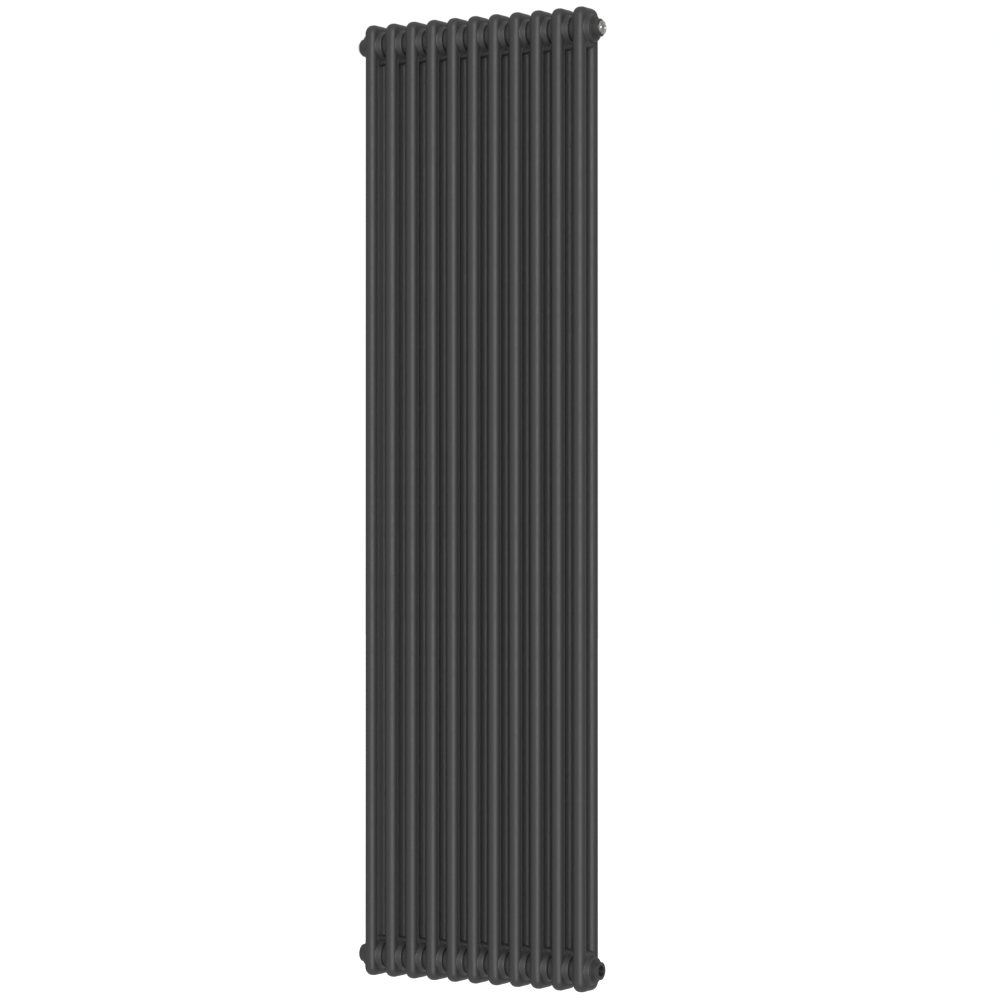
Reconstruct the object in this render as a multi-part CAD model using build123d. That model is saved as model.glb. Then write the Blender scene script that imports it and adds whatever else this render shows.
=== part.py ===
from build123d import *
import math
import os

# A tall two-column steel tube radiator with a bleed valve, in millimetres.
# +X runs along the row of sections, +Z is up and -Y faces the room.
# The origin is under the middle of the row, at mid-depth, on the lowest points of the bottom heads.

# The row of sections
HEIGHT = 1800.0
SECTIONS = 11
PITCH = 45.0
FIRST_X = -PITCH * (SECTIONS - 1) / 2
ROW_END = PITCH * SECTIONS / 2

# Tubes and pressed heads
TUBE_R = 12.0
WALL = 1.2
COLUMN_Y = 22.2  # a tube's centre from mid-depth
HEAD_LENGTH = 84.0  # from the top of a head to the tubes welded into it
CORNER_R = 6.5  # the head's centre line at its two outer corners
BELLY_R = 24.6  # the head's centre line at its inner edge, about the collar's axis
AXIS_DEPTH = 39.0  # collar axis below the top of a head
AXIS_Z = HEIGHT - AXIS_DEPTH

# Collars that join one head to the next
COLLAR_BASE_R = 27.4
COLLAR_RIM_R = 24.9
COLLAR_RIM_X = 20.0  # from the section's centre plane
COLLAR_FACE_X = 21.2
COLLAR_FACE_R = 23.6
NECK_R = 20.8
WELD_WIDTH = 2.4
WELD_R = 21.5
DIVERTER_THICKNESS = 1.5
DIVERTER_DISH = 3.0
DIVERTER_FLAT_R = 12.0

# End bushes, screwed into thread rings that are welded into the end collars
CLEARANCE = 0.05
RING_LENGTH = 11.0
SPIGOT_R = 16.6
SPIGOT_LENGTH = 9.0
GASKET_THICKNESS = 0.5
GASKET_R = 20.0
FLANGE_R = 20.2
FLANGE_THICKNESS = 1.5
BOSS_R = 16.5
BOSS_LENGTH = 8.0
BUSH_CHAMFER = 0.4
MOUTH_X = ROW_END + GASKET_THICKNESS + FLANGE_THICKNESS + BOSS_LENGTH
TAP_R = 9.3
TAP_DEPTH = 14.0
TAP_CHAMFER = 1.2
KEY_ACROSS_FLATS = 16.0

# Plugs in the two top bushes. Heights are measured outwards from the bush's mouth.
CAP_R = 12.4
CAP_HEIGHT = 4.5
CAP_CHAMFER = 0.6
DISH_R = 9.8
GROOVE_FLOOR = 2.6
GROOVE_OUTER_R = 8.2
GROOVE_INNER_R = 7.0
CENTRE_BOSS_R = 6.2
CENTRE_BOSS_HEIGHT = 4.3
PLUG_NECK_R = 8.05
PLUG_NECK_LENGTH = 2.0
PLUG_LENGTH = 12.0
PLUG_LEAD_IN = 0.8
SEAL_R = 0.7
SEAL_CENTRE_R = 8.77
SEAL_DEPTH = 0.73
SOCKET_ACROSS_FLATS = 8.0
SOCKET_DEPTH = 6.0

# Bleed screw in the middle of the bleed valve
CHAMBER_R = 4.4
CHAMBER_FLOOR = -2.5
SCREW_BORE_R = 3.0
SEAT_TOP = -7.5
WATERWAY_R = 1.2
SCREW_CLEARANCE = 0.08
SCREW_TIP = -9.0
COLLAR_BOTTOM = 0.6
COLLAR_TOP = 2.6
SCREW_COLLAR_R = 4.3
SCREW_HEAD_TOP = 4.1
SCREW_HEAD_SQUARE = 5.0
SLOT_WIDTH = 1.0
SLOT_DEPTH = 0.9
STEM_RING_R = 0.5
STEM_RING_CENTRE_R = 3.85
STEM_RING_HEIGHT = 1.6
OUTLET_ANGLE = 35.0  # above the horizontal, towards the wall
OUTLET_R = 0.8
OUTLET_OVERRUN = 0.5  # how far the drilling starts and ends outside the boss's wall
OUTLET_NOTCH_WIDTH = 2.0

X_AXIS = Axis((0, 0, 0), (1, 0, 0))


def turned(points):
    """A solid of revolution about the X axis, from (x, radius) points of its half section."""
    return revolve(make_face(Polyline(*points, close=True)), axis=X_AXIS)


def ring(x_low, x_high, inner_r, outer_r):
    """A plain ring about the X axis."""
    return turned([(x_low, inner_r), (x_high, inner_r), (x_high, outer_r), (x_low, outer_r)])


def rounded_rim(radius, path_r, start, sweep):
    """Half-round edge that runs along an arc about the X axis. Angles go from +Z towards -Y."""
    half_disc = Circle(radius) & Rectangle(2 * radius, radius, align=(Align.CENTER, Align.MIN))
    profile = Plane.XZ * Pos(0, path_r) * half_disc
    return Rot(start, 0, 0) * revolve(profile, axis=X_AXIS, revolution_arc=sweep)


def head_form(skin):
    """A top head's outer form, or its inner form when a skin is taken off, with its collar axis on X."""
    radius = TUBE_R - skin
    ridge_z = AXIS_DEPTH - TUBE_R
    corner_z = ridge_z - CORNER_R
    corner_y = COLUMN_Y - CORNER_R
    joint_z = AXIS_DEPTH - HEAD_LENGTH
    belly_angle = math.degrees(math.asin(COLUMN_Y / BELLY_R))
    shoulder_z = -BELLY_R * math.cos(math.radians(belly_angle))

    web = Pos(0, 0, shoulder_z) * Box(
        2 * radius, 2 * COLUMN_Y, corner_z - shoulder_z, align=(Align.CENTER, Align.CENTER, Align.MIN)
    )
    web += Pos(0, 0, corner_z) * Box(
        2 * radius, 2 * corner_y, CORNER_R, align=(Align.CENTER, Align.CENTER, Align.MIN)
    )
    below_shoulder = Pos(0, 0, shoulder_z) * Box(
        2 * radius, 2 * COLUMN_Y, BELLY_R, align=(Align.CENTER, Align.CENTER, Align.MAX)
    )
    web += Rot(0, 90, 0) * Cylinder(BELLY_R, 2 * radius) & below_shoulder

    form = web + Pos(0, 0, ridge_z) * Rot(90, 0, 0) * Cylinder(radius, 2 * corner_y)
    form += rounded_rim(radius, BELLY_R, 180 - belly_angle, 2 * belly_angle)
    for side in (-1, 1):
        stub = Cylinder(radius, corner_z - joint_z, align=(Align.CENTER, Align.CENTER, Align.MIN))
        corner_fill = Rot(0, 90, 0) * Cylinder(CORNER_R, 2 * radius)
        corner_rim = rounded_rim(radius, CORNER_R, 0 if side < 0 else -90, 90)
        form += Pos(0, side * COLUMN_Y, joint_z) * stub
        form += Pos(0, side * corner_y, corner_z) * (corner_fill + corner_rim)
    return form


def collar_form(skin):
    """Collars on both sides of a head, from its centre plane to the neighbouring heads."""
    half = [
        (0, COLLAR_BASE_R - skin),
        (TUBE_R - skin, COLLAR_BASE_R - skin),
        (COLLAR_RIM_X - skin, COLLAR_RIM_R - skin),
        (COLLAR_FACE_X - skin, COLLAR_FACE_R - skin),
        (COLLAR_FACE_X - skin, NECK_R - skin),
        (PITCH / 2, NECK_R - skin),
        (PITCH / 2, 0),
        (0, 0),
    ]
    side = turned(half)
    return side + mirror(side, about=Plane.YZ)


def make_head():
    """One hollow pressed head with its collar axis on X."""
    return head_form(0) + collar_form(0) - (head_form(WALL) + collar_form(WALL))


def make_tube():
    """One straight tube, its lower end at the origin."""
    length = HEIGHT - 2 * HEAD_LENGTH
    upright = (Align.CENTER, Align.CENTER, Align.MIN)
    return Cylinder(TUBE_R, length, align=upright) - Cylinder(TUBE_R - WALL, length, align=upright)


def collar_welds():
    """Weld beads around every joint between neighbouring necks, on the X axis."""
    half = WELD_WIDTH / 2
    arc_top = ThreePointArc((-half, NECK_R), (0, WELD_R), (half, NECK_R))
    section = make_face(arc_top + Line((half, NECK_R), (-half, NECK_R)))
    bead = revolve(section, axis=X_AXIS)
    return [Pos(FIRST_X + (n + 0.5) * PITCH, 0, 0) * bead for n in range(SECTIONS - 1)]


def flow_diverter():
    """Dished disc across the neck between the first two bottom heads."""
    rim_r = NECK_R - WALL - CLEARANCE
    thick = DIVERTER_THICKNESS
    disc = turned(
        [
            (0, 0),
            (0, DIVERTER_FLAT_R),
            (DIVERTER_DISH, rim_r),
            (DIVERTER_DISH + thick, rim_r),
            (thick, DIVERTER_FLAT_R),
            (thick, 0),
        ]
    )
    return Pos(FIRST_X + PITCH / 2 - DIVERTER_DISH, 0, 0) * disc


def thread_ring():
    """Ring inside a right-hand end collar that the bush screws into."""
    return ring(ROW_END - RING_LENGTH, ROW_END, SPIGOT_R + CLEARANCE, NECK_R - WALL - CLEARANCE)


def gasket():
    """Flat ring under a right-hand bush's flange."""
    return ring(ROW_END, ROW_END + GASKET_THICKNESS, SPIGOT_R + CLEARANCE, GASKET_R)


def bush():
    """Right-hand end bush: spigot, flange and round boss, tapped from its mouth, with a hexagon behind."""
    flange_low = ROW_END + GASKET_THICKNESS
    flange_high = flange_low + FLANGE_THICKNESS
    edge = BUSH_CHAMFER
    body = turned(
        [
            (flange_low - SPIGOT_LENGTH, 0),
            (flange_low - SPIGOT_LENGTH, SPIGOT_R),
            (flange_low, SPIGOT_R),
            (flange_low, FLANGE_R - edge),
            (flange_low + edge, FLANGE_R),
            (flange_high - edge, FLANGE_R),
            (flange_high, FLANGE_R - edge),
            (flange_high, BOSS_R),
            (MOUTH_X - edge, BOSS_R),
            (MOUTH_X, BOSS_R - edge),
            (MOUTH_X, 0),
        ]
    )
    bore = turned(
        [
            (MOUTH_X - TAP_DEPTH, 0),
            (MOUTH_X - TAP_DEPTH, TAP_R),
            (MOUTH_X - TAP_CHAMFER, TAP_R),
            (MOUTH_X, TAP_R + TAP_CHAMFER),
            (MOUTH_X + 1, TAP_R + TAP_CHAMFER),
            (MOUTH_X + 1, 0),
        ]
    )
    hexagon = RegularPolygon(KEY_ACROSS_FLATS / 2, 6, major_radius=False)
    key_hole = extrude(Plane.YZ.offset(flange_low - SPIGOT_LENGTH) * hexagon, TAP_DEPTH)
    return body - bore - (key_hole & ring(0, MOUTH_X, 0, TAP_R))


def plug_outline(face):
    """Half section of a plug, its flange on the plane X=0, with the face's own (x, radius) points."""
    return [
        (-PLUG_LENGTH, 0),
        (-PLUG_LENGTH, TAP_R - CLEARANCE - PLUG_LEAD_IN),
        (-PLUG_LENGTH + PLUG_LEAD_IN, TAP_R - CLEARANCE),
        (-PLUG_NECK_LENGTH, TAP_R - CLEARANCE),
        (-PLUG_NECK_LENGTH, PLUG_NECK_R),
        (0, PLUG_NECK_R),
        (0, CAP_R),
        (CAP_HEIGHT - CAP_CHAMFER, CAP_R),
        (CAP_HEIGHT, CAP_R - CAP_CHAMFER),
        (CAP_HEIGHT, DISH_R),
        *face,
    ]


def plug_seal():
    """O-ring in the chamfer at a bush's mouth, under a plug's flange."""
    section = Pos(-SEAL_DEPTH, SEAL_CENTRE_R) * Circle(SEAL_R)
    return revolve(section, axis=X_AXIS)


def blanking_plug():
    """Solid plug with a dished face and a hexagon socket."""
    plug = turned(plug_outline([(GROOVE_FLOOR, GROOVE_OUTER_R), (GROOVE_FLOOR, 0)]))
    socket = RegularPolygon(SOCKET_ACROSS_FLATS / 2, 6, major_radius=False)
    return plug - extrude(Plane.YZ.offset(GROOVE_FLOOR) * socket, -SOCKET_DEPTH)


def valve_body():
    """Bleed valve body: dished face, centre boss around the screw's chamber, seat and water outlet."""
    face = [
        (GROOVE_FLOOR, GROOVE_OUTER_R),
        (GROOVE_FLOOR, GROOVE_INNER_R),
        (CENTRE_BOSS_HEIGHT, CENTRE_BOSS_R),
        (CENTRE_BOSS_HEIGHT, CHAMBER_R),
        (CHAMBER_FLOOR, CHAMBER_R),
        (CHAMBER_FLOOR, SCREW_BORE_R),
        (SEAT_TOP, SCREW_BORE_R),
        (SEAT_TOP - (SCREW_BORE_R - WATERWAY_R), WATERWAY_R),
        (-PLUG_LENGTH, WATERWAY_R),
    ]
    body = turned(plug_outline(face)[1:])

    groove_r = (GROOVE_OUTER_R + GROOVE_INNER_R) / 2
    inner_end = (-OUTLET_OVERRUN, 0, CHAMBER_R - OUTLET_OVERRUN)
    outer_end = (GROOVE_FLOOR + OUTLET_OVERRUN, 0, groove_r + OUTLET_OVERRUN)
    drill = Line(inner_end, outer_end)
    outlet = extrude(Plane(origin=drill @ 0, z_dir=drill % 0) * Circle(OUTLET_R), drill.length)
    notch = Pos(GROOVE_FLOOR, 0, groove_r) * Box(
        CAP_HEIGHT, OUTLET_NOTCH_WIDTH, CAP_R, align=(Align.MIN, Align.CENTER, Align.MIN)
    )
    return body - Rot(OUTLET_ANGLE - 90, 0, 0) * (outlet + notch)


def bleed_screw():
    """Bleed screw: cone tip, stem, collar with an O-ring groove, and a slotted square head."""
    stem_r = SCREW_BORE_R - SCREW_CLEARANCE
    tip_r = stem_r - (SEAT_TOP - SCREW_TIP)
    groove_r = STEM_RING_CENTRE_R - STEM_RING_R - CLEARANCE
    groove_low = STEM_RING_HEIGHT - STEM_RING_R - CLEARANCE
    groove_high = STEM_RING_HEIGHT + STEM_RING_R + CLEARANCE
    screw = turned(
        [
            (SCREW_TIP, 0),
            (SCREW_TIP, tip_r),
            (SEAT_TOP, stem_r),
            (COLLAR_BOTTOM, stem_r),
            (COLLAR_BOTTOM, SCREW_COLLAR_R),
            (groove_low, SCREW_COLLAR_R),
            (groove_low, groove_r),
            (groove_high, groove_r),
            (groove_high, SCREW_COLLAR_R),
            (COLLAR_TOP, SCREW_COLLAR_R),
            (COLLAR_TOP, 0),
        ]
    )
    head_height = SCREW_HEAD_TOP - COLLAR_TOP
    head = Pos(COLLAR_TOP, 0, 0) * Box(
        head_height, SCREW_HEAD_SQUARE, SCREW_HEAD_SQUARE, align=(Align.MIN, Align.CENTER, Align.CENTER)
    )
    slot = Pos(SCREW_HEAD_TOP, 0, 0) * Box(
        SLOT_DEPTH, 2 * SCREW_HEAD_SQUARE, SLOT_WIDTH, align=(Align.MAX, Align.CENTER, Align.CENTER)
    )
    return screw + head - slot


def stem_seal():
    """O-ring in the bleed screw's collar."""
    section = Pos(STEM_RING_HEIGHT, STEM_RING_CENTRE_R) * Circle(STEM_RING_R)
    return revolve(section, axis=X_AXIS)


def save(name, *solids):
    """Writes one named node, a single solid or a group of separate ones."""
    shape = solids[0] if len(solids) == 1 else Compound(children=list(solids))
    export_step(shape, f"parts/{name}.step")


def on_side(piece, side):
    """A piece made for the right-hand end, mirrored if it goes on the left."""
    return mirror(piece, about=Plane.YZ) if side == "left" else piece


def save_sections(top, bottom):
    """The heads and tubes of every section."""
    top_head = make_head()
    bottom_head = mirror(top_head, about=Plane.XY)
    tube = make_tube()
    for n in range(SECTIONS):
        x = FIRST_X + n * PITCH
        number = f"{n + 1:02d}"
        save(f"top_head_{number}", top * Pos(x, 0, 0) * top_head)
        save(f"bottom_head_{number}", bottom * Pos(x, 0, 0) * bottom_head)
        save(f"front_tube_{number}", Pos(x, -COLUMN_Y, HEAD_LENGTH) * tube)
        save(f"rear_tube_{number}", Pos(x, COLUMN_Y, HEAD_LENGTH) * tube)


def save_corners(top, bottom):
    """The four end bushes, with their thread rings and gaskets."""
    rings = []
    gaskets = []
    for level, place in (("top", top), ("bottom", bottom)):
        for side in ("left", "right"):
            save(f"{level}_{side}_bush", place * on_side(bush(), side))
            rings.append(place * on_side(thread_ring(), side))
            gaskets.append(place * on_side(gasket(), side))
    save("end_thread_rings", *rings)
    save("bush_gaskets", *gaskets)


def save_plugs(top):
    """The bleed valve in the top right bush and the blanking plug in the top left one."""
    mouth = Pos(MOUTH_X, 0, 0)
    save("bleed_valve_body", top * mouth * valve_body())
    save("bleed_valve_seal", top * mouth * plug_seal())
    save("bleed_screw", top * mouth * bleed_screw())
    save("bleed_screw_seal", top * mouth * stem_seal())
    save("blanking_plug", top * on_side(mouth * blanking_plug(), "left"))
    save("blanking_plug_seal", top * on_side(mouth * plug_seal(), "left"))


def main():
    os.makedirs("parts", exist_ok=True)
    top = Pos(0, 0, AXIS_Z)
    bottom = Pos(0, 0, AXIS_DEPTH)
    save_sections(top, bottom)
    save_corners(top, bottom)
    save_plugs(top)
    save("top_collar_welds", *[top * bead for bead in collar_welds()])
    save("bottom_collar_welds", *[bottom * bead for bead in collar_welds()])
    save("flow_diverter", bottom * flow_diverter())


main()
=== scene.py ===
import math

import bmesh
import bpy
import numpy as np
from mathutils import Matrix


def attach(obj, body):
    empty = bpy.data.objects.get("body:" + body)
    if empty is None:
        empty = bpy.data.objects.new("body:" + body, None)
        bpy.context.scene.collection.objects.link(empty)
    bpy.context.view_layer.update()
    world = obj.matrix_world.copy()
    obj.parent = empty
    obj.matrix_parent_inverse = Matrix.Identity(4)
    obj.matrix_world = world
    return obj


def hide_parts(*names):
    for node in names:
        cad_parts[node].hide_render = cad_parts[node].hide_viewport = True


# Looks of the column radiator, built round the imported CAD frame. Shapes are worked out in
# millimetres and scaled to metres when they become Blender meshes.
# +X runs along the row of sections towards the bleed valve, -Y faces the room, +Z is up.

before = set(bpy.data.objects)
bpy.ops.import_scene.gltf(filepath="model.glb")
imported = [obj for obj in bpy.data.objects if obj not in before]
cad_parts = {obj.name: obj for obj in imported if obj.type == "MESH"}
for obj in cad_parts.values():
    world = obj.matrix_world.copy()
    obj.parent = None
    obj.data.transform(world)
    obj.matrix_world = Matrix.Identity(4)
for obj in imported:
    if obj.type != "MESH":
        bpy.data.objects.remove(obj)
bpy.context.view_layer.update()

MM = 0.001

# The row of sections
HEIGHT = 1800.0
SECTIONS = 11
PITCH = 45.0
FIRST_X = -PITCH * (SECTIONS - 1) / 2
ROW_END = PITCH * SECTIONS / 2

# Tubes and heads
TUBE_R = 12.0
WALL = 1.2
COLUMN_Y = 22.2
HEAD_LENGTH = 84.0
CORNER_R = 6.5
RIDGE_FLAT = 1.7
BELLY_R = 24.6
AXIS_DEPTH = 39.0
AXIS_Z = HEIGHT - AXIS_DEPTH

# Collars
COLLAR_BASE_R = 27.4
COLLAR_RIM_R = 24.9
COLLAR_RIM_X = 20.0
COLLAR_FACE_X = 21.2
COLLAR_FACE_R = 23.6
NECK_R = 20.8
COLLAR_BLEND = 1.0
COLLAR_ROUNDING = 0.6
BELLY_BLEND = 3.0
BELLY_BLEND_SPREAD = 6.0
LEAST_BLEND_SHARE = 0.01  # not 0, as the blend's reach is divided by
RIM_JOIN_X = 16.0  # the net of a head ends here, and its turned rims begin a little further out
RIM_START_X = 16.6

# Welds between neighbouring necks, and the flow diverter across one of them
WELD_WIDTH = 2.4
WELD_R = 21.5
DIVERTER_THICKNESS = 1.5
DIVERTER_DISH = 3.0
DIVERTER_FLAT_R = 12.0
DIVERTER_ROUNDING = 0.3

# End bushes
CLEARANCE = 0.05
RING_LENGTH = 11.0
SPIGOT_R = 16.6
SPIGOT_LENGTH = 9.0
GASKET_THICKNESS = 0.5
GASKET_R = 20.0
FLANGE_R = 20.2
FLANGE_THICKNESS = 1.5
BOSS_R = 16.5
BOSS_LENGTH = 8.0
BUSH_ROUNDING = 0.5
FLAT_RING_ROUNDING = 0.2
FLANGE_X = ROW_END + GASKET_THICKNESS
MOUTH_X = FLANGE_X + FLANGE_THICKNESS + BOSS_LENGTH
TAP_R = 9.3
TAP_DEPTH = 14.0
TAP_CHAMFER = 1.2
THREAD_PITCH = 1.814
THREAD_DEPTH = 1.1
# Share of the full depth across one pitch: a peak that is cut flat at 1, and its fall to either side
GROOVE_PEAK = 1.1
GROOVE_FALL = 2.4
KEY_ACROSS_FLATS = 16.0

# Plugs in the top bushes, measured outwards from the bush's mouth
CAP_R = 12.4
CAP_HEIGHT = 4.5
DISH_R = 9.8
GROOVE_FLOOR = 2.6
GROOVE_OUTER_R = 8.2
GROOVE_INNER_R = 7.0
CENTRE_BOSS_R = 6.2
CENTRE_BOSS_HEIGHT = 4.3
PLUG_NECK_R = 8.05
PLUG_NECK_LENGTH = 2.0
PLUG_LENGTH = 12.0
PLUG_ROUNDING = 0.3
SEAL_R = 0.7
SEAL_CENTRE_R = 8.77
SEAL_DEPTH = 0.73
SOCKET_ACROSS_FLATS = 8.0
SOCKET_DEPTH = 6.0
NOTCH_ANGLE = 35.0  # above the horizontal, towards the wall
NOTCH_WIDTH = 2.0

# Bleed screw, measured outwards from the same mouth
CHAMBER_R = 4.4
CHAMBER_FLOOR = -2.5
SCREW_BORE_R = 3.0
SCREW_STEM_R = 2.92
SEAT_TOP = -7.5
WATERWAY_R = 1.2
SCREW_TIP = -9.0
SCREW_TIP_R = 1.42
SCREW_COLLAR_R = 4.3
SCREW_COLLAR_BOTTOM = 0.6
SCREW_COLLAR_TOP = 2.6
SCREW_HEAD_TOP = 4.1
SCREW_HEAD_SQUARE = 5.0
SCREW_EDGE = 0.2
SLOT_WIDTH = 1.0
SLOT_DEPTH = 0.9
STEM_RING_R = 0.5
STEM_RING_CENTRE_R = 3.85
STEM_RING_HEIGHT = 1.6
STEM_GROOVE_R = 3.3

# Camera and light. The camera's place is in metres.
CAMERA_AT = (3.1333, -5.2478, 0.8535)
CAMERA_TURN = 30.49
CAMERA_TILT = 0.425
CAMERA_LENS = 118.0
CAMERA_SENSOR = 36.0
CAMERA_REACH = 100.0  # metres
FLOOR_Z = -150.0
FLOOR_SIZE = 40000.0
BACKDROP_BRIGHTNESS = 1.02
FLOOR_GLOW = 0.75
FLOOR_COLOUR = 0.6
FLOOR_ROUGHNESS = 0.9
FLOOR_DRIFT = 0.01
FLOOR_DRIFT_SCALE = 3
# Brightness of the sky, from straight down at 0 to straight up at 1
SKY_STOPS = ((0.0, 0.85), (0.33, 0.5), (0.5, 0.1), (0.63, 0.5), (1.0, 0.8))
KEY_STRENGTH = 2.3
KEY_SPREAD = 46.0
KEY_TURN = 37.0
KEY_TILT = 5.0
FILL_STRENGTH = 0.25
FILL_SPREAD = 60.0
FILL_TURN = -35.0
BACK_STRENGTH = 0.25
BACK_SPREAD = 60.0
BACK_TURN = 180.0

# Finishes. Scales are in grains to a metre and heights in metres. A drift is a share of the colour.
# A noise is taken to run from NOISE_LOW to NOISE_HIGH, as it seldom goes beyond.
NOISE_LOW = 0.3
NOISE_HIGH = 0.7
COAT_COLOUR = (0.030, 0.030, 0.0305)
COAT_ROUGHNESS = 0.5
COAT_DRIFT = 0.06
COAT_DRIFT_SCALE = 9
COAT_GLOSS_SPREAD = 0.03
COAT_GLOSS_SCALE = 60
COAT_PEEL_HEIGHT = 0.00001
COAT_PEEL_SCALE = 700
METAL_DRIFT = 0.1
METAL_DRIFT_SCALE = 300
METAL_GLOSS_SPREAD = 0.05
METAL_GLOSS_SCALE = 500
TURNING_MARK_HEIGHT = 0.000008
TURNING_MARK_SCALE = 900
TURNING_MARK_STRETCH = (8, 1, 1)
BRIGHT_PLATING_COLOUR = (0.5, 0.5, 0.49)
BRIGHT_PLATING_ROUGHNESS = 0.3
SCREW_COLOUR = (0.4, 0.4, 0.39)
SCREW_ROUGHNESS = 0.33
STEEL_COLOUR = (0.5, 0.5, 0.5)
STEEL_ROUGHNESS = 0.4
# Near-black metal inside the bushes' bores: painted shade standing in for the dark inside the tapped hole
BORE_SHADE_COLOUR = (0.05, 0.05, 0.05)
BORE_SHADE_ROUGHNESS = 0.5
RUBBER_DARK = (0.010, 0.010, 0.010)
RUBBER_LIGHT = (0.016, 0.016, 0.016)
RUBBER_ROUGHNESS = 0.65
RUBBER_DRIFT_SCALE = 400
RUBBER_GRAIN_HEIGHT = 0.00001
RUBBER_GRAIN_SCALE = 2500

# Fineness of the meshes
TURNED_SIDES = 96
PLUG_SIDES = 192
RING_FACETS = 16
WELD_FACETS = 8
THREAD_ROWS = 8  # rows of points in one pitch
ARC_SHARES = (0, 1 / 3, 2 / 3, 1)  # where the points of a rounded corner lie along its curve
CORNER_SHARE = 0.45  # the most of an edge that the rounding of one corner takes up
SKIN_STEP = 2 * RIM_JOIN_X / 27  # 27 cells of a head's net between its rims
CAVITY_STEP = 2 * RIM_JOIN_X / 14  # coarser, as the cavity is hidden
SNAP_ROUNDS = 4  # times that the net's points are moved onto the surface
SNAP_TOLERANCE = 0.01  # how near an open edge lies to the tubes' joint to belong to it
SHARP_ANGLE = math.radians(35)
HEAD_SHARP_ANGLE = math.radians(50)
MERGE_DISTANCE = 1e-7  # metres


# Shape fields: each returns the signed distance in millimetres at an array of points

def smooth_union(a, b, reach):
    """The smaller of two fields, with a fillet of about that reach between them."""
    share = np.clip(0.5 + 0.5 * (b - a) / reach, 0, 1)
    return b * (1 - share) + a * share - reach * share * (1 - share)


def body_field(p, skin):
    """A head's pressed body and its two tube stubs, its collar axis on X, with a skin taken off."""
    x, y, z = np.abs(p[..., 0]), np.abs(p[..., 1]), p[..., 2]
    radius = TUBE_R - skin
    ridge_z = AXIS_DEPTH - TUBE_R
    shoulder_z = -math.sqrt(BELLY_R**2 - COLUMN_Y**2)
    half_y, half_z = COLUMN_Y - CORNER_R, (ridge_z - shoulder_z) / 2 - CORNER_R
    middle_z = (ridge_z + shoulder_z) / 2
    dy, dz = y - half_y, np.abs(z - middle_z) - half_z
    corner = np.hypot(np.maximum(dy, 0), np.maximum(dz, 0)) + np.minimum(np.maximum(dy, dz), 0) - CORNER_R
    belly = np.maximum(np.hypot(y, z) - BELLY_R, y - COLUMN_Y)
    outline = np.minimum(corner, belly)
    flat = RIDGE_FLAT * np.clip((z - shoulder_z) / (ridge_z - shoulder_z), 0, 1)
    web = np.hypot(np.maximum(outline - flat, 0), np.maximum(x - flat, 0)) + flat - radius
    above = np.maximum(z - (ridge_z - CORNER_R), 0)
    stub = np.sqrt(x**2 + (y - COLUMN_Y) ** 2 + above**2) - radius
    inward = np.clip((COLUMN_Y - y) / BELLY_BLEND_SPREAD, LEAST_BLEND_SHARE, 1)
    return smooth_union(web, stub, BELLY_BLEND * inward)


def collar_r(x, skin):
    """A collar's radius at a distance from its section's centre plane."""
    slope = (COLLAR_BASE_R - COLLAR_RIM_R) / (COLLAR_RIM_X - TUBE_R)
    return COLLAR_BASE_R - skin - slope * np.maximum(x + skin - TUBE_R, 0)


def collar_field(p, skin):
    """The tapering collars on both sides of a head, as one form turned about X."""
    return np.hypot(p[..., 1], p[..., 2]) - collar_r(np.abs(p[..., 0]), skin)


def head_field(p, skin):
    """A whole head's outer form, or its cavity when a skin is taken off."""
    return smooth_union(body_field(p, skin), collar_field(p, skin), COLLAR_BLEND)


def gradient(field, p, reach=0.02):
    """Unit direction in which a field grows at each point."""
    slope = np.empty_like(p)
    for axis in range(3):
        shift = np.zeros(3)
        shift[axis] = reach
        slope[:, axis] = field(p + shift) - field(p - shift)
    return slope / np.maximum(np.linalg.norm(slope, axis=1, keepdims=True), 1e-9)


def surface_net(field, axes):
    """A field's zero surface: a point in each grid cell it crosses, the quads, and the points' cells."""
    grid = np.stack(np.meshgrid(*axes, indexing="ij"), -1)
    value = field(grid)
    cells = tuple(n - 1 for n in value.shape)
    total = np.zeros(cells + (3,))
    count = np.zeros(cells)
    crossings = []
    for axis in range(3):
        # The grid's edges along this axis whose two ends lie on different sides of the surface
        u, v = (axis + 1) % 3, (axis + 2) % 3
        low = [slice(None)] * 3
        high = [slice(None)] * 3
        low[axis], high[axis] = slice(None, -1), slice(1, None)
        a, b = value[tuple(low)], value[tuple(high)]
        crossed = (a < 0) != (b < 0)
        crossed &= inside_grid(crossed.shape, u, v)
        spot = np.argwhere(crossed)
        share = (a[crossed] / (a[crossed] - b[crossed]))[:, None]
        point = grid[tuple(low)][crossed] * (1 - share) + grid[tuple(high)][crossed] * share
        # Each crossing moves the points of the four cells round its edge, and makes a quad of them
        corners = []
        for back_u, back_v in ((1, 1), (0, 1), (0, 0), (1, 0)):
            cell = spot.copy()
            cell[:, u] -= back_u
            cell[:, v] -= back_v
            np.add.at(total, tuple(cell.T), point)
            np.add.at(count, tuple(cell.T), 1)
            corners.append(cell)
        crossings.append((corners, a[crossed] < 0))
    index = np.cumsum(count > 0).reshape(cells) - 1
    points = total[count > 0] / count[count > 0][:, None]
    quads = []
    for corners, leaves in crossings:
        quad = np.stack([index[tuple(cell.T)] for cell in corners], 1)
        quads.append(np.where(leaves[:, None], quad, quad[:, ::-1]))
    return points, np.concatenate(quads), np.argwhere(count > 0)


def inside_grid(shape, u, v):
    """True for the grid edges that have a cell on all four sides."""
    inside = np.ones(shape, bool)
    for axis in (u, v):
        inside.swapaxes(0, axis)[[0, -1]] = False
    return inside


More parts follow.
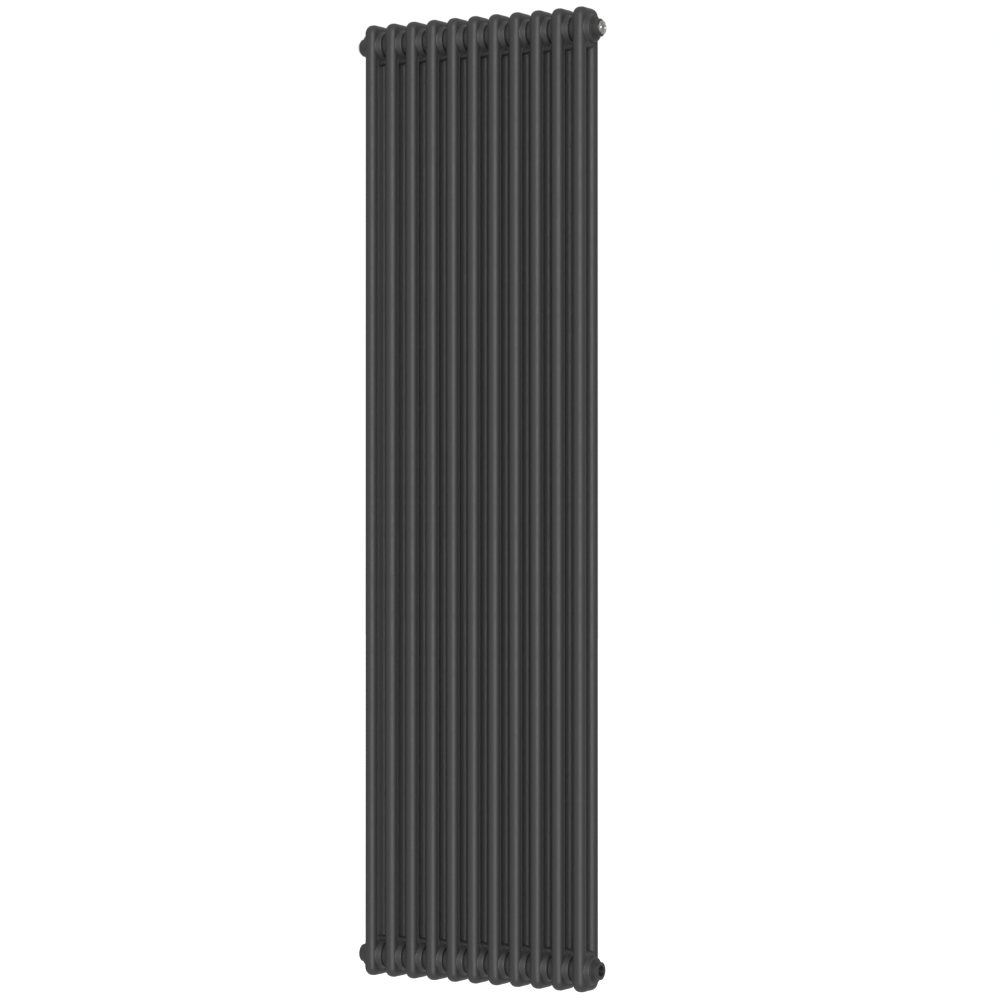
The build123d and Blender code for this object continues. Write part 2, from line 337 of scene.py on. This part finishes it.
def head_skin(skin, step):
    """One skin of a head, open where the tubes and the turned rims join it."""

    def field(p):
        return head_field(p, skin)

    half_x, half_y = RIM_JOIN_X, COLUMN_Y + TUBE_R
    joint_z = AXIS_DEPTH - HEAD_LENGTH
    rows = math.ceil(half_y / step) + 1
    axes = [
        np.arange(-half_x - step / 2, half_x + step, step),
        step * np.arange(-rows, rows + 1),
        np.arange(joint_z - step / 2, AXIS_DEPTH + 1.5 * step, step),
    ]
    points, quads, cells = surface_net(field, axes)
    at_rim = (cells[:, 0] == 0) | (cells[:, 0] == len(axes[0]) - 2)
    at_tube = cells[:, 2] == 0
    for _ in range(SNAP_ROUNDS):
        points[at_rim, 0] = np.sign(points[at_rim, 0]) * half_x
        points[at_tube, 2] = joint_z
        points -= field(points)[:, None] * gradient(field, points)
    points[at_rim, 0] = np.sign(points[at_rim, 0]) * half_x
    points[at_tube, 2] = joint_z
    return points, quads


# Meshes

def new_mesh(name, points, faces):
    """A smooth-shaded mesh from points in millimetres."""
    mesh = bpy.data.meshes.new(name)
    mesh.from_pydata((np.asarray(points) * MM).tolist(), [], np.asarray(faces).tolist())
    mesh.shade_smooth()
    return mesh


def new_piece(name, mesh, material, node, place, body="radiator"):
    """An object of the model, put in its place, that rides on a CAD body and stands for a CAD node."""
    piece = bpy.data.objects.new(name, mesh)
    bpy.context.scene.collection.objects.link(piece)
    if not mesh.materials:
        mesh.materials.append(material)
    piece.matrix_world = place
    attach(piece, body)
    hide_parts(node)
    return piece


def at(x, y, z, turn=0, axis="X"):
    """Where a piece made about the origin goes, in millimetres, and how far it is turned, in degrees."""
    return Matrix.Translation((x * MM, y * MM, z * MM)) @ Matrix.Rotation(math.radians(turn), 4, axis)


def head_mesh():
    """A hollow head: outer skin and cavity, joined by the turned rims and the sheet's edge at the tubes."""
    outer, outer_faces = head_skin(0, SKIN_STEP)
    inner, inner_faces = head_skin(WALL, CAVITY_STEP)
    faces = np.concatenate([outer_faces, inner_faces[:, ::-1] + len(outer)])
    mesh = new_mesh("head", np.concatenate([outer, inner]), faces)
    rim = rim_mesh()
    bm = bmesh.new()
    bm.from_mesh(mesh)
    bm.from_mesh(rim)
    bm.from_mesh(moved(rim, at(0, 0, 0, 180, "Z")))
    open_edges = [edge for edge in bm.edges if edge.is_boundary]
    middle = {edge: (edge.verts[0].co + edge.verts[1].co) / 2 / MM for edge in open_edges}
    tube_joint_z = AXIS_DEPTH - HEAD_LENGTH
    at_tubes = [e for e in open_edges if math.isclose(middle[e].z, tube_joint_z, abs_tol=SNAP_TOLERANCE)]
    at_rims = [e for e in open_edges if e not in at_tubes]
    sheet_r = collar_r(RIM_JOIN_X, WALL / 2)
    for side in (-1, 1):
        stub = [e for e in at_tubes if middle[e].y * side > 0]
        outside = [e for e in at_rims if middle[e].x * side > 0 and math.hypot(*middle[e].yz) > sheet_r]
        inside = [e for e in at_rims if middle[e].x * side > 0 and math.hypot(*middle[e].yz) < sheet_r]
        for edges in (stub, outside, inside):
            bmesh.ops.bridge_loops(bm, edges=edges)
    bmesh.ops.recalc_face_normals(bm, faces=bm.faces)
    bm.to_mesh(mesh)
    bm.free()
    mesh.shade_smooth()
    mesh.set_sharp_from_angle(angle=HEAD_SHARP_ANGLE)
    return mesh


def rim_mesh():
    """The outer part of a right-hand collar and its neck, turned, open at the end nearer the head."""
    halves = []
    for skin in (0, WALL):
        halves.append(
            [
                (RIM_START_X, collar_r(RIM_START_X, skin)),
                (COLLAR_RIM_X - skin, COLLAR_RIM_R - skin),
                (COLLAR_FACE_X - skin, COLLAR_FACE_R - skin),
                (COLLAR_FACE_X - skin, NECK_R - skin),
                (PITCH / 2, NECK_R - skin),
            ]
        )
    outline = halves[0] + halves[1][::-1]
    corners = rounded_between(outline, COLLAR_ROUNDING)
    return turned_mesh("rim", [outline[0], *corners, outline[-1]], closed=False)


def rounded(outline, radius):
    """A closed (x, radius) outline with its corners rounded, but for those that lie on the axis."""
    result = []
    for k, (x, r) in enumerate(outline):
        if r == 0:
            result.append((x, r))
            continue
        corner = np.array((x, r), float)
        back = np.array(outline[k - 1]) - corner
        ahead = np.array(outline[(k + 1) % len(outline)]) - corner
        long_back, long_ahead = np.linalg.norm(back), np.linalg.norm(ahead)
        reach = min(radius, CORNER_SHARE * long_back, CORNER_SHARE * long_ahead)
        start, end = back / long_back * reach, ahead / long_ahead * reach
        for share in ARC_SHARES:
            point = corner + start * (1 - share) ** 2 + end * share**2
            result.append(tuple(point))
    return result


def rounded_between(outline, radius):
    """The rounded corners of an open (x, radius) outline, without its two ends."""
    arc = len(ARC_SHARES)
    return rounded(outline, radius)[arc:-arc]


def circle_outline(x, r, radius):
    """The (x, radius) outline of an O-ring's section."""
    angle = np.linspace(0, 2 * math.pi, RING_FACETS, endpoint=False)
    return [(x + radius * math.cos(a), r + radius * math.sin(a)) for a in angle]


def around(sides):
    """The angles of a turned mesh's points about X, from +Y towards +Z."""
    return np.linspace(0, 2 * math.pi, sides, endpoint=False)


def hexagon(across_flats):
    """A hexagon's radius at each angle of a turned mesh."""
    return across_flats / 2 / np.cos(around(TURNED_SIDES) % (math.pi / 3) - math.pi / 6)


def turned_mesh(name, outline, sides=TURNED_SIDES, closed=True):
    """An (x, radius) outline turned about X. Either number may be an array, one value for each side."""
    angle = around(sides)
    rows = []
    for x, r in outline:
        r = np.broadcast_to(r, sides)
        rows.append(np.stack([np.broadcast_to(x, sides), r * np.cos(angle), r * np.sin(angle)], 1))
    faces = []
    for k in range(len(outline) if closed else len(outline) - 1):
        low, high = k * sides, (k + 1) % len(outline) * sides
        for n in range(sides):
            m = (n + 1) % sides
            faces.append((low + n, low + m, high + m, high + n))
    mesh = new_mesh(name, np.concatenate(rows), faces)
    bm = bmesh.new()
    bm.from_mesh(mesh)
    clean_up(bm)
    bm.to_mesh(mesh)
    bm.free()
    mesh.set_sharp_from_angle(angle=SHARP_ANGLE)
    return mesh


def clean_up(bm):
    """Merges points that lie together and turns every face outwards."""
    bmesh.ops.remove_doubles(bm, verts=bm.verts, dist=MERGE_DISTANCE)
    bmesh.ops.dissolve_degenerate(bm, edges=bm.edges, dist=MERGE_DISTANCE)
    bmesh.ops.recalc_face_normals(bm, faces=bm.faces)


def joined(name, meshes):
    """One mesh made of several."""
    bm = bmesh.new()
    for mesh in meshes:
        bm.from_mesh(mesh)
    whole = bpy.data.meshes.new(name)
    bm.to_mesh(whole)
    bm.free()
    whole.set_sharp_from_angle(angle=SHARP_ANGLE)
    return whole


def moved(mesh, place):
    """A copy of a mesh, put somewhere else."""
    copy = mesh.copy()
    copy.transform(place)
    return copy


def tube_mesh():
    """A straight hollow tube along +Z from the origin."""
    length = HEIGHT - 2 * HEAD_LENGTH
    outline = [(0, TUBE_R), (length, TUBE_R), (length, TUBE_R - WALL), (0, TUBE_R - WALL)]
    mesh = turned_mesh("tube", outline)
    mesh.transform(Matrix.Rotation(-math.pi / 2, 4, "Y"))
    return mesh


def weld_mesh():
    """All the beads between the heads of one row, about the X axis."""
    half = WELD_WIDTH / 2
    arc = [math.pi * n / WELD_FACETS for n in range(WELD_FACETS + 1)]
    crown = [(half * math.cos(a), NECK_R + (WELD_R - NECK_R) * math.sin(a)) for a in arc]
    bead = turned_mesh("bead", crown + [(-half, NECK_R - WALL / 2), (half, NECK_R - WALL / 2)])
    places = [at(FIRST_X + (n + 0.5) * PITCH, 0, 0) for n in range(SECTIONS - 1)]
    return joined("welds", [moved(bead, place) for place in places])


def diverter_mesh():
    """Dished disc across the neck between the first two bottom heads."""
    rim_r = NECK_R - WALL - CLEARANCE
    thick = DIVERTER_THICKNESS
    low, high = FIRST_X + PITCH / 2 - DIVERTER_DISH, FIRST_X + PITCH / 2
    outline = [
        (low, 0),
        (low, DIVERTER_FLAT_R),
        (high, rim_r),
        (high + thick, rim_r),
        (low + thick, DIVERTER_FLAT_R),
        (low + thick, 0),
    ]
    return turned_mesh("diverter", rounded(outline, DIVERTER_ROUNDING))


def flat_ring(name, x_low, x_high, inner_r, outer_r):
    """A ring of rectangular section about X with rounded edges."""
    outline = [(x_low, inner_r), (x_high, inner_r), (x_high, outer_r), (x_low, outer_r)]
    return turned_mesh(name, rounded(outline, FLAT_RING_ROUNDING))


def at_four_corners(name, mesh):
    """One mesh of a right-hand fitting repeated at all four ends of the two rows."""
    ends = [at(0, 0, z, turn, "Z") for z in (AXIS_DEPTH, AXIS_Z) for turn in (0, 180)]
    return joined(name, [moved(mesh, end) for end in ends])


def thread_rows():
    """The tapped bore's wall from floor to mouth, grooved along a right-hand helix and chamfered."""
    rows = []
    count = round(TAP_DEPTH / THREAD_PITCH * THREAD_ROWS)
    for x in np.linspace(MOUTH_X - TAP_DEPTH, MOUTH_X, count + 1):
        # How far along a pitch each of this row's points lies
        turn = (x / THREAD_PITCH - around(TURNED_SIDES) / (2 * math.pi)) % 1
        groove = np.clip(GROOVE_PEAK - GROOVE_FALL * np.abs(turn - 0.5), 0, 1)
        chamfer = TAP_R + max(x - MOUTH_X + TAP_CHAMFER, 0)
        rows.append((x, np.maximum(TAP_R + THREAD_DEPTH * groove, chamfer)))
    return rows


def bush_mesh(paint, bore_shade_metal):
    """Right-hand end bush: spigot, flange, boss, unpainted threaded bore made near-black as painted shade,
    and hexagon hole behind it.
    """
    spigot_x = FLANGE_X - SPIGOT_LENGTH
    boss_x = FLANGE_X + FLANGE_THICKNESS
    outside = [
        (spigot_x, TAP_R),
        (spigot_x, SPIGOT_R),
        (FLANGE_X, SPIGOT_R),
        (FLANGE_X, FLANGE_R),
        (boss_x, FLANGE_R),
        (boss_x, BOSS_R),
        (MOUTH_X, BOSS_R),
        (MOUTH_X, TAP_R + TAP_CHAMFER),
    ]
    key = hexagon(KEY_ACROSS_FLATS)
    inside = [*reversed(thread_rows()), (MOUTH_X - TAP_DEPTH, key), (spigot_x, key)]
    mesh = turned_mesh("bush", rounded_between(outside, BUSH_ROUNDING) + inside)
    mesh.materials.append(paint)
    mesh.materials.append(bore_shade_metal)
    # The faces within the thread's outer radius are bare metal, made near-black as painted shade for the
    # inside of the hole
    for face in mesh.polygons:
        face.material_index = int(math.hypot(face.center.y, face.center.z) < (TAP_R + THREAD_DEPTH) * MM)
    return mesh


def plug_outline(face):
    """Closed outline of a plug whose flange lies on X=0, with the face's own (x, radius) points."""
    return [
        (-PLUG_LENGTH, TAP_R - CLEARANCE),
        (-PLUG_NECK_LENGTH, TAP_R - CLEARANCE),
        (-PLUG_NECK_LENGTH, PLUG_NECK_R),
        (0, PLUG_NECK_R),
        (0, CAP_R),
        (CAP_HEIGHT, CAP_R),
        (CAP_HEIGHT, DISH_R),
        *face,
    ]


def blanking_plug_mesh():
    """Solid plug with a dished face and a hexagon socket."""
    face = [(GROOVE_FLOOR, GROOVE_OUTER_R), (GROOVE_FLOOR, 0), (-PLUG_LENGTH, 0)]
    on_axis = 2  # the face's last points, which make way for the socket
    dished = rounded(plug_outline(face), PLUG_ROUNDING)[:-on_axis]
    socket = hexagon(SOCKET_ACROSS_FLATS)
    floor = GROOVE_FLOOR - SOCKET_DEPTH
    sunk = [(GROOVE_FLOOR, socket), (floor, socket), (floor, 0), (-PLUG_LENGTH, 0)]
    return turned_mesh("blanking_plug", dished + sunk)


def valve_body_mesh():
    """Bleed valve body: dished face with an outlet notch in its rim, and the screw's chamber and seat."""
    face = [
        (GROOVE_FLOOR, GROOVE_OUTER_R),
        (GROOVE_FLOOR, GROOVE_INNER_R),
        (CENTRE_BOSS_HEIGHT, CENTRE_BOSS_R),
        (CENTRE_BOSS_HEIGHT, CHAMBER_R),
        (CHAMBER_FLOOR, CHAMBER_R),
        (CHAMBER_FLOOR, SCREW_BORE_R),
        (SEAT_TOP, SCREW_BORE_R),
        (SEAT_TOP - (SCREW_BORE_R - WATERWAY_R), WATERWAY_R),
        (-PLUG_LENGTH, WATERWAY_R),
    ]
    outline = rounded(plug_outline(face), PLUG_ROUNDING)
    return turned_mesh("valve_body", [(notched(x, r), r) for x, r in outline], PLUG_SIDES)


def notched(x, r):
    """The x of a point on the valve's face at each angle, down at the groove's floor in the notch."""
    if r < GROOVE_OUTER_R or x < GROOVE_FLOOR:
        return x
    from_notch = around(PLUG_SIDES) - math.radians(NOTCH_ANGLE)
    in_notch = (np.abs(r * np.sin(from_notch)) < NOTCH_WIDTH / 2) & (np.cos(from_notch) > 0)
    return np.where(in_notch, GROOVE_FLOOR, x)


def bleed_screw_mesh():
    """Bleed screw: cone tip, stem, collar grooved for its O-ring, and a slotted square head."""
    groove_half = STEM_RING_R + CLEARANCE
    outline = [
        (SCREW_TIP, 0),
        (SCREW_TIP, SCREW_TIP_R),
        (SEAT_TOP, SCREW_STEM_R),
        (SCREW_COLLAR_BOTTOM, SCREW_STEM_R),
        (SCREW_COLLAR_BOTTOM, SCREW_COLLAR_R),
        (STEM_RING_HEIGHT - groove_half, SCREW_COLLAR_R),
        (STEM_RING_HEIGHT - groove_half, STEM_GROOVE_R),
        (STEM_RING_HEIGHT + groove_half, STEM_GROOVE_R),
        (STEM_RING_HEIGHT + groove_half, SCREW_COLLAR_R),
        (SCREW_COLLAR_TOP, SCREW_COLLAR_R),
        (SCREW_COLLAR_TOP, 0),
    ]
    stem = turned_mesh("stem", rounded(outline, SCREW_EDGE))
    return joined("bleed_screw", [stem, square_head_mesh()])


def square_head_mesh():
    """The bleed screw's square head, its slot running along Y."""
    half, groove = SCREW_HEAD_SQUARE / 2, SLOT_WIDTH / 2
    top, floor = SCREW_HEAD_TOP, SCREW_HEAD_TOP - SLOT_DEPTH
    profile = [
        (SCREW_COLLAR_TOP, -half),
        (SCREW_COLLAR_TOP, half),
        (top, half),
        (top, groove),
        (floor, groove),
        (floor, -groove),
        (top, -groove),
        (top, -half),
    ]
    count = len(profile)
    points = [(x, y, z) for y in (-half, half) for x, z in profile]
    sides = [(n, (n + 1) % count, (n + 1) % count + count, n + count) for n in range(count)]
    bm = bmesh.new()
    corners = [bm.verts.new([c * MM for c in point]) for point in points]
    for face in sides + [tuple(range(count)), tuple(range(count, 2 * count))]:
        bm.faces.new([corners[n] for n in face])
    clean_up(bm)
    edge = SCREW_EDGE * MM
    bmesh.ops.bevel(bm, geom=bm.edges, offset=edge, segments=2, affect="EDGES", clamp_overlap=True)
    mesh = bpy.data.meshes.new("square_head")
    bm.to_mesh(mesh)
    bm.free()
    mesh.shade_smooth()
    return mesh


# Materials

def new_material(name, colour, metallic, roughness):
    """A new Principled material, and its shader."""
    material = bpy.data.materials.new(name)
    material.use_nodes = True
    shader = material.node_tree.nodes["Principled BSDF"]
    shader.inputs["Base Color"].default_value = (*colour, 1)
    shader.inputs["Metallic"].default_value = metallic
    shader.inputs["Roughness"].default_value = roughness
    return material, shader


def noise(material, scale, detail=2.0, stretch=(1, 1, 1)):
    """The output of a noise texture, its grains about 1 / scale metres across."""
    nodes, links = material.node_tree.nodes, material.node_tree.links
    coordinates = nodes.new("ShaderNodeTexCoord")
    mapping = nodes.new("ShaderNodeMapping")
    mapping.inputs["Scale"].default_value = stretch
    texture = nodes.new("ShaderNodeTexNoise")
    texture.inputs["Scale"].default_value = scale
    texture.inputs["Detail"].default_value = detail
    links.new(coordinates.outputs["Object"], mapping.inputs["Vector"])
    links.new(mapping.outputs["Vector"], texture.inputs["Vector"])
    return texture.outputs["Fac"]


def spread(material, value, low, high):
    """Maps a noise, which mostly stays between NOISE_LOW and NOISE_HIGH, onto another range."""
    nodes, links = material.node_tree.nodes, material.node_tree.links
    node = nodes.new("ShaderNodeMapRange")
    node.inputs["From Min"].default_value = NOISE_LOW
    node.inputs["From Max"].default_value = NOISE_HIGH
    node.inputs["To Min"].default_value = low
    node.inputs["To Max"].default_value = high
    links.new(value, node.inputs["Value"])
    return node.outputs["Result"]


def vary_colour(material, shader, value, dark, light):
    """Lets the base colour drift between two colours with a 0-1 value."""
    nodes, links = material.node_tree.nodes, material.node_tree.links
    mix = nodes.new("ShaderNodeMix")
    mix.data_type = "RGBA"
    mix.inputs["A"].default_value = (*dark, 1)
    mix.inputs["B"].default_value = (*light, 1)
    links.new(value, mix.inputs["Factor"])
    links.new(mix.outputs["Result"], shader.inputs["Base Color"])


def vary_roughness(material, shader, scale, roughness, either_way):
    """Lets the roughness drift by up to that much either way, with a noise of that scale."""
    rough = spread(material, noise(material, scale), roughness - either_way, roughness + either_way)
    material.node_tree.links.new(rough, shader.inputs["Roughness"])


def add_bump(material, shader, value, height):
    """Raises the surface by up to that many metres with a 0-1 value."""
    nodes, links = material.node_tree.nodes, material.node_tree.links
    bump = nodes.new("ShaderNodeBump")
    bump.inputs["Strength"].default_value = 1
    bump.inputs["Distance"].default_value = height
    links.new(value, bump.inputs["Height"])
    links.new(bump.outputs["Normal"], shader.inputs["Normal"])


def powder_coat(name):
    """Satin anthracite powder coat with fine orange peel."""
    material, shader = new_material(name, COAT_COLOUR, 0, COAT_ROUGHNESS)
    drift = noise(material, COAT_DRIFT_SCALE, detail=3)
    dark = [c * (1 - COAT_DRIFT) for c in COAT_COLOUR]
    light = [c * (1 + COAT_DRIFT) for c in COAT_COLOUR]
    vary_colour(material, shader, drift, dark, light)
    vary_roughness(material, shader, COAT_GLOSS_SCALE, COAT_ROUGHNESS, COAT_GLOSS_SPREAD)
    add_bump(material, shader, noise(material, COAT_PEEL_SCALE), COAT_PEEL_HEIGHT)
    return material


def bare_metal(name, colour, roughness):
    """Uncoated metal with fine turning marks and some change of gloss."""
    material, shader = new_material(name, colour, 1, roughness)
    dark = [c * (1 - METAL_DRIFT) for c in colour]
    vary_colour(material, shader, noise(material, METAL_DRIFT_SCALE), dark, colour)
    vary_roughness(material, shader, METAL_GLOSS_SCALE, roughness, METAL_GLOSS_SPREAD)
    marks = noise(material, TURNING_MARK_SCALE, stretch=TURNING_MARK_STRETCH)
    add_bump(material, shader, marks, TURNING_MARK_HEIGHT)
    return material


def black_rubber():
    """Matt black rubber."""
    material, shader = new_material("black_rubber", RUBBER_DARK, 0, RUBBER_ROUGHNESS)
    vary_colour(material, shader, noise(material, RUBBER_DRIFT_SCALE), RUBBER_DARK, RUBBER_LIGHT)
    add_bump(material, shader, noise(material, RUBBER_GRAIN_SCALE), RUBBER_GRAIN_HEIGHT)
    return material


def pale_floor():
    """Smooth pale studio floor with a glow of its own, so that it stays as white as the backdrop."""
    grey = (FLOOR_COLOUR, FLOOR_COLOUR, FLOOR_COLOUR)
    material, shader = new_material("pale_floor", grey, 0, FLOOR_ROUGHNESS)
    dark = [c * (1 - FLOOR_DRIFT) for c in grey]
    vary_colour(material, shader, noise(material, FLOOR_DRIFT_SCALE), dark, grey)
    shader.inputs["Emission Color"].default_value = (1, 1, 1, 1)
    shader.inputs["Emission Strength"].default_value = FLOOR_GLOW
    return material


# The model

def build_sections(coat):
    """Heads, tubes and the welds between the heads."""
    head, tube, welds = head_mesh(), tube_mesh(), weld_mesh()
    for n in range(SECTIONS):
        x = FIRST_X + n * PITCH
        pieces = {
            "top_head": (head, at(x, 0, AXIS_Z)),
            "bottom_head": (head, at(x, 0, AXIS_DEPTH, 180)),
            "front_tube": (tube, at(x, -COLUMN_Y, HEAD_LENGTH)),
            "rear_tube": (tube, at(x, COLUMN_Y, HEAD_LENGTH)),
        }
        for kind, (mesh, place) in pieces.items():
            node = f"{kind}_{n + 1:02d}"
            new_piece(f"{node}_skin", mesh, coat, node, place)
    for level, z in (("top", AXIS_Z), ("bottom", AXIS_DEPTH)):
        node = f"{level}_collar_welds"
        new_piece(f"{level}_weld_beads", welds, coat, node, at(0, 0, z))


def build_corners(paint, bore_shade_metal, steel, rubber):
    """End bushes with their thread rings and gaskets, and the flow diverter."""
    bush = bush_mesh(paint, bore_shade_metal)
    for level, z in (("top", AXIS_Z), ("bottom", AXIS_DEPTH)):
        for side, turn in (("right", 0), ("left", 180)):
            node = f"{level}_{side}_bush"
            new_piece(f"{node}_turned", bush, paint, node, at(0, 0, z, turn, "Z"))
    inner_r, ring_r = SPIGOT_R + CLEARANCE, NECK_R - WALL - CLEARANCE
    ring = flat_ring("ring", ROW_END - RING_LENGTH, ROW_END, inner_r, ring_r)
    gasket = flat_ring("gasket", ROW_END, FLANGE_X, inner_r, GASKET_R)
    rings, gaskets = at_four_corners("thread_rings", ring), at_four_corners("gaskets", gasket)
    new_piece("thread_rings", rings, steel, "end_thread_rings", at(0, 0, 0))
    new_piece("flange_gaskets", gaskets, rubber, "bush_gaskets", at(0, 0, 0))
    disc, header = diverter_mesh(), at(0, 0, AXIS_DEPTH)
    new_piece("diverter_disc", disc, steel, "flow_diverter", header)


def build_plugs(nickel, screw_metal, rubber):
    """The bleed valve and its screw at the top right, and the blanking plug at the top left."""
    right, left = at(MOUTH_X, 0, AXIS_Z), at(-MOUTH_X, 0, AXIS_Z, 180, "Z")
    seal = turned_mesh("plug_seal", circle_outline(-SEAL_DEPTH, SEAL_CENTRE_R, SEAL_R))
    stem_ring_outline = circle_outline(STEM_RING_HEIGHT, STEM_RING_CENTRE_R, STEM_RING_R)
    stem_ring = turned_mesh("stem_ring", stem_ring_outline)
    new_piece("valve_turned", valve_body_mesh(), nickel, "bleed_valve_body", right)
    new_piece("valve_ring", seal, rubber, "bleed_valve_seal", right)
    new_piece("plug_turned", blanking_plug_mesh(), nickel, "blanking_plug", left)
    new_piece("plug_ring", seal, rubber, "blanking_plug_seal", left)
    screw = bleed_screw_mesh()
    new_piece("screw_turned", screw, screw_metal, "bleed_screw", right, "screw")
    new_piece("screw_ring", stem_ring, rubber, "bleed_screw_seal", right, "screw_seal")


# The studio

def add_floor():
    """A pale floor a little below the hung radiator."""
    half = FLOOR_SIZE / 2
    corners = [(-half, -half, 0), (half, -half, 0), (half, half, 0), (-half, half, 0)]
    floor = bpy.data.objects.new("floor", new_mesh("floor", corners, [(0, 1, 2, 3)]))
    floor.data.materials.append(pale_floor())
    bpy.context.scene.collection.objects.link(floor)
    floor.location.z = FLOOR_Z * MM
    # The sky alone lights the model from below
    floor.visible_diffuse = False
    floor.visible_glossy = False
    floor.visible_shadow = False


def add_sky():
    """White backdrop for the camera, and a soft grey dome, darker below, that lights the model."""
    world = bpy.data.worlds.new("studio")
    bpy.context.scene.world = world
    world.use_nodes = True
    nodes, links = world.node_tree.nodes, world.node_tree.links
    nodes.clear()
    direction = nodes.new("ShaderNodeTexCoord")
    height = nodes.new("ShaderNodeSeparateXYZ")
    steps = nodes.new("ShaderNodeMapRange")
    steps.inputs["From Min"].default_value = -1
    ramp = nodes.new("ShaderNodeValToRGB")
    ramp.color_ramp.interpolation = "B_SPLINE"
    stops = ramp.color_ramp.elements
    stops[0].position, stops[1].position = SKY_STOPS[0][0], SKY_STOPS[-1][0]
    for position, _ in SKY_STOPS[1:-1]:
        stops.new(position)
    for stop, (_, brightness) in zip(stops, SKY_STOPS):
        stop.color = (brightness, brightness, brightness, 1)
    dome = nodes.new("ShaderNodeBackground")
    backdrop = nodes.new("ShaderNodeBackground")
    backdrop.inputs["Color"].default_value = (1, 1, 1, 1)
    backdrop.inputs["Strength"].default_value = BACKDROP_BRIGHTNESS
    path = nodes.new("ShaderNodeLightPath")
    mix = nodes.new("ShaderNodeMixShader")
    output = nodes.new("ShaderNodeOutputWorld")
    links.new(direction.outputs["Generated"], height.inputs["Vector"])
    links.new(height.outputs["Z"], steps.inputs["Value"])
    links.new(steps.outputs["Result"], ramp.inputs["Fac"])
    links.new(ramp.outputs["Color"], dome.inputs["Color"])
    links.new(path.outputs["Is Camera Ray"], mix.inputs["Fac"])
    links.new(dome.outputs["Background"], mix.inputs[1])
    links.new(backdrop.outputs["Background"], mix.inputs[2])
    links.new(mix.outputs["Shader"], output.inputs["Surface"])


def add_sun(name, strength, spread_degrees, turn, tilt):
    """A broad soft light from far away, turned about Z from straight behind a viewer at -Y, and tilted."""
    data = bpy.data.lights.new(name, "SUN")
    data.energy = strength
    data.angle = math.radians(spread_degrees)
    light = bpy.data.objects.new(name, data)
    light.rotation_euler = (math.radians(90 - tilt), 0, math.radians(turn))
    bpy.context.scene.collection.objects.link(light)


def add_camera():
    """The camera, at the height of the radiator's middle and to the right of its front."""
    data = bpy.data.cameras.new("camera")
    data.lens = CAMERA_LENS
    data.sensor_width = CAMERA_SENSOR
    data.clip_end = CAMERA_REACH
    camera = bpy.data.objects.new("camera", data)
    camera.location = CAMERA_AT
    camera.rotation_euler = (math.radians(90 + CAMERA_TILT), 0, math.radians(CAMERA_TURN))
    bpy.context.scene.collection.objects.link(camera)
    bpy.context.scene.camera = camera


def main():
    """Builds the model, the studio round it and the camera."""
    rubber = black_rubber()
    steel = bare_metal("bare_steel", STEEL_COLOUR, STEEL_ROUGHNESS)
    # A near-black metal for the bores: painted shade
    bore_shade_metal = bare_metal("bore_painted_shade", BORE_SHADE_COLOUR, BORE_SHADE_ROUGHNESS)
    nickel = bare_metal("bright_plating", BRIGHT_PLATING_COLOUR, BRIGHT_PLATING_ROUGHNESS)
    screw_metal = bare_metal("screw_metal", SCREW_COLOUR, SCREW_ROUGHNESS)
    build_sections(powder_coat("powder_coat"))
    build_corners(powder_coat("bush_paint"), bore_shade_metal, steel, rubber)
    build_plugs(nickel, screw_metal, rubber)
    add_floor()
    add_sky()
    add_sun("key", KEY_STRENGTH, KEY_SPREAD, KEY_TURN, KEY_TILT)
    add_sun("fill", FILL_STRENGTH, FILL_SPREAD, FILL_TURN, 0)
    add_sun("back", BACK_STRENGTH, BACK_SPREAD, BACK_TURN, 0)
    add_camera()
    bpy.context.scene.view_settings.view_transform = "Standard"


main()
